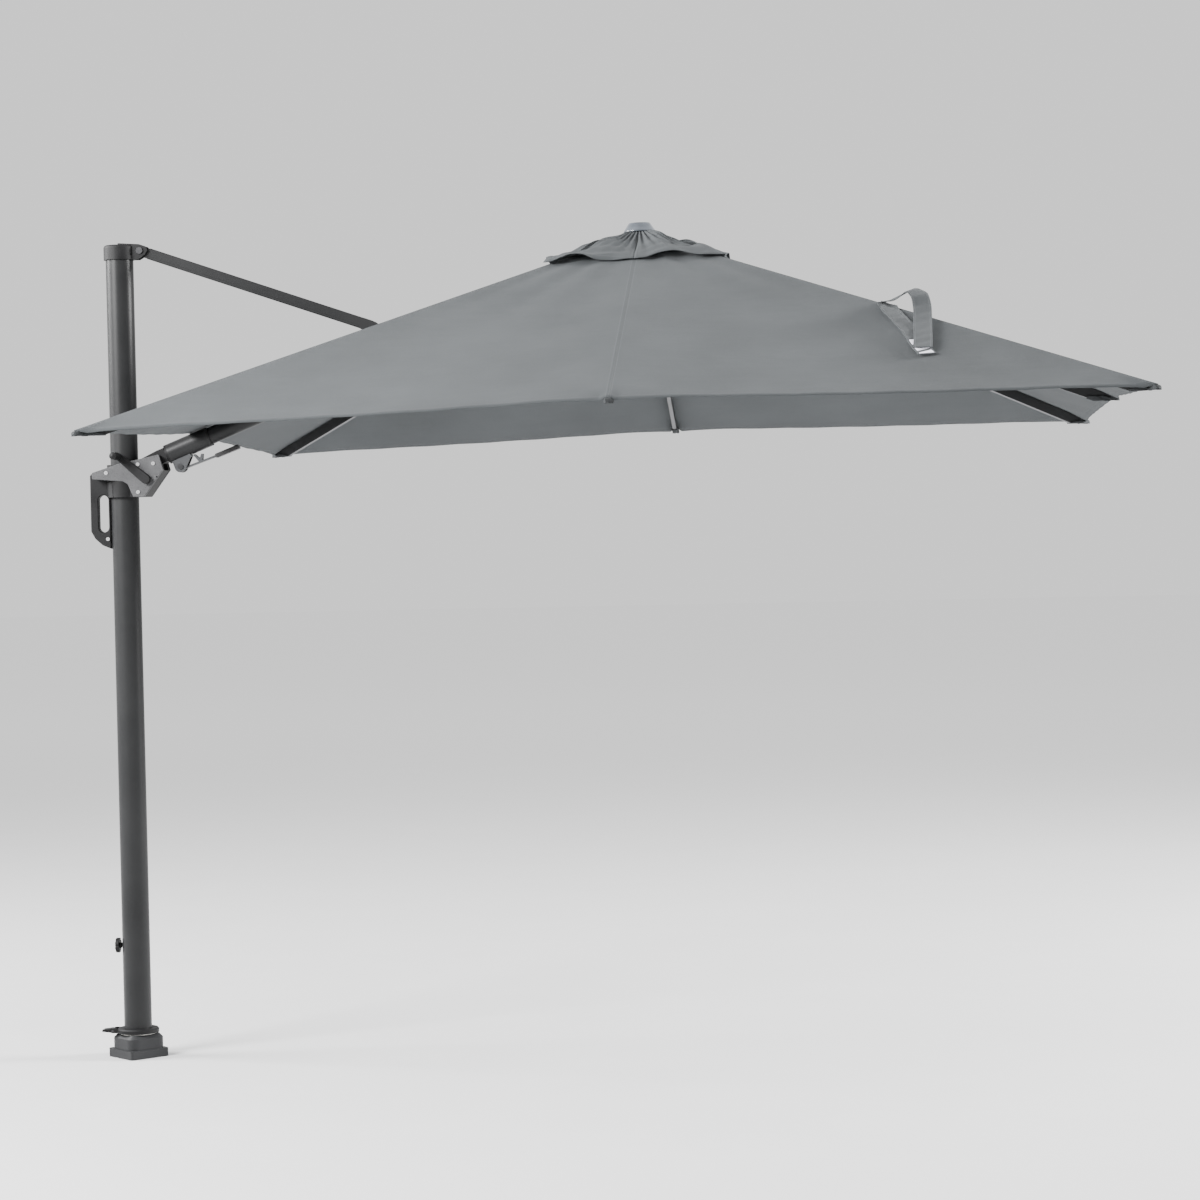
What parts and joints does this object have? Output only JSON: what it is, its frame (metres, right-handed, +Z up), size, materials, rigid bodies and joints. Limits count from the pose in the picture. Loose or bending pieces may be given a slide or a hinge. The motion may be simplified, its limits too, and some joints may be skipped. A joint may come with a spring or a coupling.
{
  "type": "cantilever parasol",
  "caption": "Square cantilever parasol on a round mast: tie bar, tilting arm, crank carriage with D-grip, folding ribs and a vented cloth canopy, on a swivelling foot.",
  "frame": {"origin": "centre of the base plate's underside, on the mast's axis", "axes": "+Z up the mast, +X from the mast towards the canopy, +Y away from the crank's side"},
  "size_m": [3.338, 3.0174, 2.6756],
  "materials": {
    "plate_metal": "dark textured powder coat",
    "inner_steel": "plain steel tube",
    "nylon": "bearing plastic",
    "mast_coat": "anthracite satin powder coat",
    "tube_coat": "anthracite satin powder coat",
    "rib_coat": "black satin coat",
    "body_plastic": "black textured nylon",
    "cheek_coat": "grey hammered powder coat",
    "bracket_metal": "grey coated steel",
    "soft_grip": "black dipped grip",
    "bright_screw": "bright stainless steel",
    "dark_screw": "black oxide",
    "finial_gloss": "grey-blue gloss plastic",
    "canopy_cloth": "woven anthracite polyester"
  },
  "bodies": {
    "base": {"base_socket": "plate_metal", "base_post": "inner_steel", "thrust_washer": "nylon"},
    "mast": {"mast_tube": "mast_coat", "swivel_ring": "body_plastic", "mast_cap": "body_plastic", "cap_pin": "dark_screw", "pedal_pin": "dark_screw"},
    "pedal": {"foot_pedal": "body_plastic"},
    "knob": {"clamp_knob": "body_plastic"},
    "tie": {"tie_bar": "tube_coat", "tie_eye": "tube_coat", "tie_fork": "tube_coat"},
    "carrier": {"arm_knuckle": "body_plastic", "arm_sleeve": "tube_coat", "lever_bracket": "bracket_metal", "lever_pin": "dark_screw", "tie_collar": "body_plastic", "tie_screws": "bright_screw"},
    "lever": {"side_lever": "bracket_metal", "lever_grip": "soft_grip"},
    "carriage": {"slider_body": "body_plastic", "cheek_front": "cheek_coat", "cheek_back": "cheek_coat", "cheek_screws": "bright_screw", "knuckle_pin": "dark_screw", "grip_handle": "body_plastic"},
    "crank": {"crank_arm": "body_plastic"},
    "crank_grip": {"crank_knob": "body_plastic"},
    "arm": {"arm_tube": "tube_coat", "arm_end": "body_plastic", "crown_pin": "bright_screw"},
    "crown": {"crown_hub": "body_plastic", "finial": "finial_gloss", "vent_flap": "canopy_cloth"},
    "rib_mid_near": {"rib_mid_near": "rib_coat", "gore_near_l": "canopy_cloth", "gore_near_r": "canopy_cloth"},
    "strut_mid_near": {"strut_mid_near": "rib_coat"},
    "rib_mid_right": {"rib_mid_right": "rib_coat", "gore_right_n": "canopy_cloth", "gore_right_f": "canopy_cloth"},
    "strut_mid_right": {"strut_mid_right": "rib_coat"},
    "rib_mid_far": {"rib_mid_far": "rib_coat", "gore_far_r": "canopy_cloth", "gore_far_l": "canopy_cloth"},
    "strut_mid_far": {"strut_mid_far": "rib_coat"},
    "rib_near_left": {"rib_near_left": "rib_coat", "gore_left_n": "canopy_cloth"},
    "strut_near_left": {"strut_near_left": "rib_coat"},
    "rib_near_right": {"rib_near_right": "rib_coat", "closing_strap": "canopy_cloth"},
    "strut_near_right": {"strut_near_right": "rib_coat"},
    "rib_far_right": {"rib_far_right": "rib_coat"},
    "strut_far_right": {"strut_far_right": "rib_coat"},
    "rib_far_left": {"rib_far_left": "rib_coat", "gore_left_f": "canopy_cloth"},
    "strut_far_left": {"strut_far_left": "rib_coat"},
    "runner": {"runner": "body_plastic"}
  },
  "joints": [
    {"name": "mast_swivel", "type": "hinge", "parent": "base", "child": "mast", "pos_m": [0, 0, 0.07905], "axis": [0, 0, 1], "continuous": true},
    {"name": "pedal_press", "type": "hinge", "parent": "mast", "child": "pedal", "pos_m": [-0.08, 0, 0.086], "axis": [0, 1, 0], "range_deg": [-12, 0], "stiffness_Nm_per_rad": 2, "springref_deg": 4.58},
    {"name": "knob_turn", "type": "hinge", "parent": "mast", "child": "knob", "pos_m": [-0.048, 0, 0.365], "axis": [1, 0, 0], "range_deg": [-1080, 1080]},
    {"name": "fold", "type": "hinge", "parent": "mast", "child": "tie", "pos_m": [0.071, 0, 2.632], "axis": [0, 1, 0], "range_deg": [0, 48]},
    {"name": "arm_hold", "type": "hinge", "parent": "tie", "child": "carrier", "pos_m": [0.93419, 0, 2.285], "axis": [0, 1, 0], "range_deg": [-96, 0]},
    {"name": "carriage_pivot", "type": "hinge", "parent": "carrier", "child": "carriage", "pos_m": [0.071, 0, 1.938], "axis": [0, 1, 0], "range_deg": [0, 48]},
    {"name": "crank_turn", "type": "hinge", "parent": "carriage", "child": "crank", "pos_m": [0.084, -0.05, 1.8883], "axis": [0, 1, 0], "range_deg": [-1152, 0]},
    {"name": "crank_grip_spin", "type": "hinge", "parent": "crank", "child": "crank_grip", "pos_m": [-0.005, -0.08, 1.9636], "axis": [0, 1, 0], "continuous": true},
    {"name": "side_lever_pull", "type": "hinge", "parent": "carrier", "child": "lever", "pos_m": [0.18901, 0, 1.92702], "axis": [0, 1, 0], "range_deg": [0, 25]},
    {"name": "side_tilt", "type": "hinge", "parent": "carrier", "child": "arm", "pos_m": [0.071, 0, 1.938], "axis": [0.9278, 0, 0.373], "range_deg": [-12, 12]},
    {"name": "crown_level", "type": "hinge", "parent": "arm", "child": "crown", "pos_m": [1.623, 0, 2.5619], "axis": [0, 1, 0], "range_deg": [0, 48]},
    {"name": "rib_mid_near_fold", "type": "hinge", "parent": "crown", "child": "rib_mid_near", "pos_m": [1.703, -0.06, 2.598], "axis": [0.9998, 0, 0.0183], "range_deg": [0, 63.61], "deforming": ["gore_near_l", "gore_near_r"]},
    {"name": "strut_mid_near_fold", "type": "hinge", "parent": "rib_mid_near", "child": "strut_mid_near", "pos_m": [1.70698, -0.54342, 2.38076], "axis": [0.9998, 0, 0.0183], "range_deg": [-127.22, 0]},
    {"name": "rib_mid_right_fold", "type": "hinge", "parent": "crown", "child": "rib_mid_right", "pos_m": [1.76299, 0, 2.5991], "axis": [0, 1, 0], "range_deg": [0, 63.61], "deforming": ["gore_right_n", "gore_right_f"]},
    {"name": "strut_mid_right_fold", "type": "hinge", "parent": "rib_mid_right", "child": "strut_mid_right", "pos_m": [2.25031, 0, 2.39072], "axis": [0, 1, 0], "range_deg": [-127.22, 0]},
    {"name": "rib_mid_far_fold", "type": "hinge", "parent": "crown", "child": "rib_mid_far", "pos_m": [1.703, 0.06, 2.598], "axis": [-0.9998, 0, -0.0183], "range_deg": [0, 63.61], "deforming": ["gore_far_r", "gore_far_l"]},
    {"name": "strut_mid_far_fold", "type": "hinge", "parent": "rib_mid_far", "child": "strut_mid_far", "pos_m": [1.70698, 0.54342, 2.38076], "axis": [-0.9998, 0, -0.0183], "range_deg": [-127.22, 0]},
    {"name": "rib_near_left_fold", "type": "hinge", "parent": "crown", "child": "rib_near_left", "pos_m": [1.64291, -0.0601, 2.5969], "axis": [0.707, -0.7071, 0.013], "range_deg": [0, 66.85], "deforming": ["gore_left_n"]},
    {"name": "strut_near_left_fold", "type": "hinge", "parent": "rib_near_left", "child": "strut_near_left", "pos_m": [1.32214, -0.38427, 2.40818], "axis": [0.707, -0.7071, 0.013], "range_deg": [-132.05, 0]},
    {"name": "rib_near_right_fold", "type": "hinge", "parent": "crown", "child": "rib_near_right", "pos_m": [1.76309, -0.0601, 2.5991], "axis": [0.707, 0.7071, 0.013], "range_deg": [0, 66.85]},
    {"name": "strut_near_right_fold", "type": "hinge", "parent": "rib_near_right", "child": "strut_near_right", "pos_m": [2.09056, -0.38427, 2.42227], "axis": [0.707, 0.7071, 0.013], "range_deg": [-132.05, 0]},
    {"name": "rib_far_right_fold", "type": "hinge", "parent": "crown", "child": "rib_far_right", "pos_m": [1.76309, 0.0601, 2.5991], "axis": [-0.707, 0.7071, -0.013], "range_deg": [0, 66.85]},
    {"name": "strut_far_right_fold", "type": "hinge", "parent": "rib_far_right", "child": "strut_far_right", "pos_m": [2.09056, 0.38427, 2.42227], "axis": [-0.707, 0.7071, -0.013], "range_deg": [-132.05, 0]},
    {"name": "rib_far_left_fold", "type": "hinge", "parent": "crown", "child": "rib_far_left", "pos_m": [1.64291, 0.0601, 2.5969], "axis": [-0.707, -0.7071, -0.013], "range_deg": [0, 66.85], "deforming": ["gore_left_f"]},
    {"name": "strut_far_left_fold", "type": "hinge", "parent": "rib_far_left", "child": "strut_far_left", "pos_m": [1.32214, 0.38427, 2.40818], "axis": [-0.707, -0.7071, -0.013], "range_deg": [-132.05, 0]},
    {"name": "runner_level", "type": "hinge", "parent": "strut_mid_near", "child": "runner", "pos_m": [1.71096, -0.06, 2.16352], "axis": [0.9998, 0, 0.0183], "range_deg": [0, 63.61]}
  ],
  "couplings": [
    {"joint": "arm_hold", "follows": "fold", "ratio": -2},
    {"joint": "carriage_pivot", "follows": "fold", "ratio": 1},
    {"joint": "crank_turn", "follows": "fold", "ratio": -24},
    {"joint": "crown_level", "follows": "fold", "ratio": 1},
    {"joint": "rib_mid_near_fold", "follows": "fold", "ratio": 1.3252},
    {"joint": "strut_mid_near_fold", "follows": "fold", "ratio": -2.6504},
    {"joint": "rib_mid_right_fold", "follows": "fold", "ratio": 1.3252},
    {"joint": "strut_mid_right_fold", "follows": "fold", "ratio": -2.6504},
    {"joint": "rib_mid_far_fold", "follows": "fold", "ratio": 1.3252},
    {"joint": "strut_mid_far_fold", "follows": "fold", "ratio": -2.6504},
    {"joint": "rib_near_left_fold", "follows": "fold", "ratio": 1.3928},
    {"joint": "strut_near_left_fold", "follows": "fold", "ratio": -2.751},
    {"joint": "rib_near_right_fold", "follows": "fold", "ratio": 1.3928},
    {"joint": "strut_near_right_fold", "follows": "fold", "ratio": -2.751},
    {"joint": "rib_far_right_fold", "follows": "fold", "ratio": 1.3928},
    {"joint": "strut_far_right_fold", "follows": "fold", "ratio": -2.751},
    {"joint": "rib_far_left_fold", "follows": "fold", "ratio": 1.3928},
    {"joint": "strut_far_left_fold", "follows": "fold", "ratio": -2.751},
    {"joint": "runner_level", "follows": "fold", "ratio": 1.3252}
  ]
}
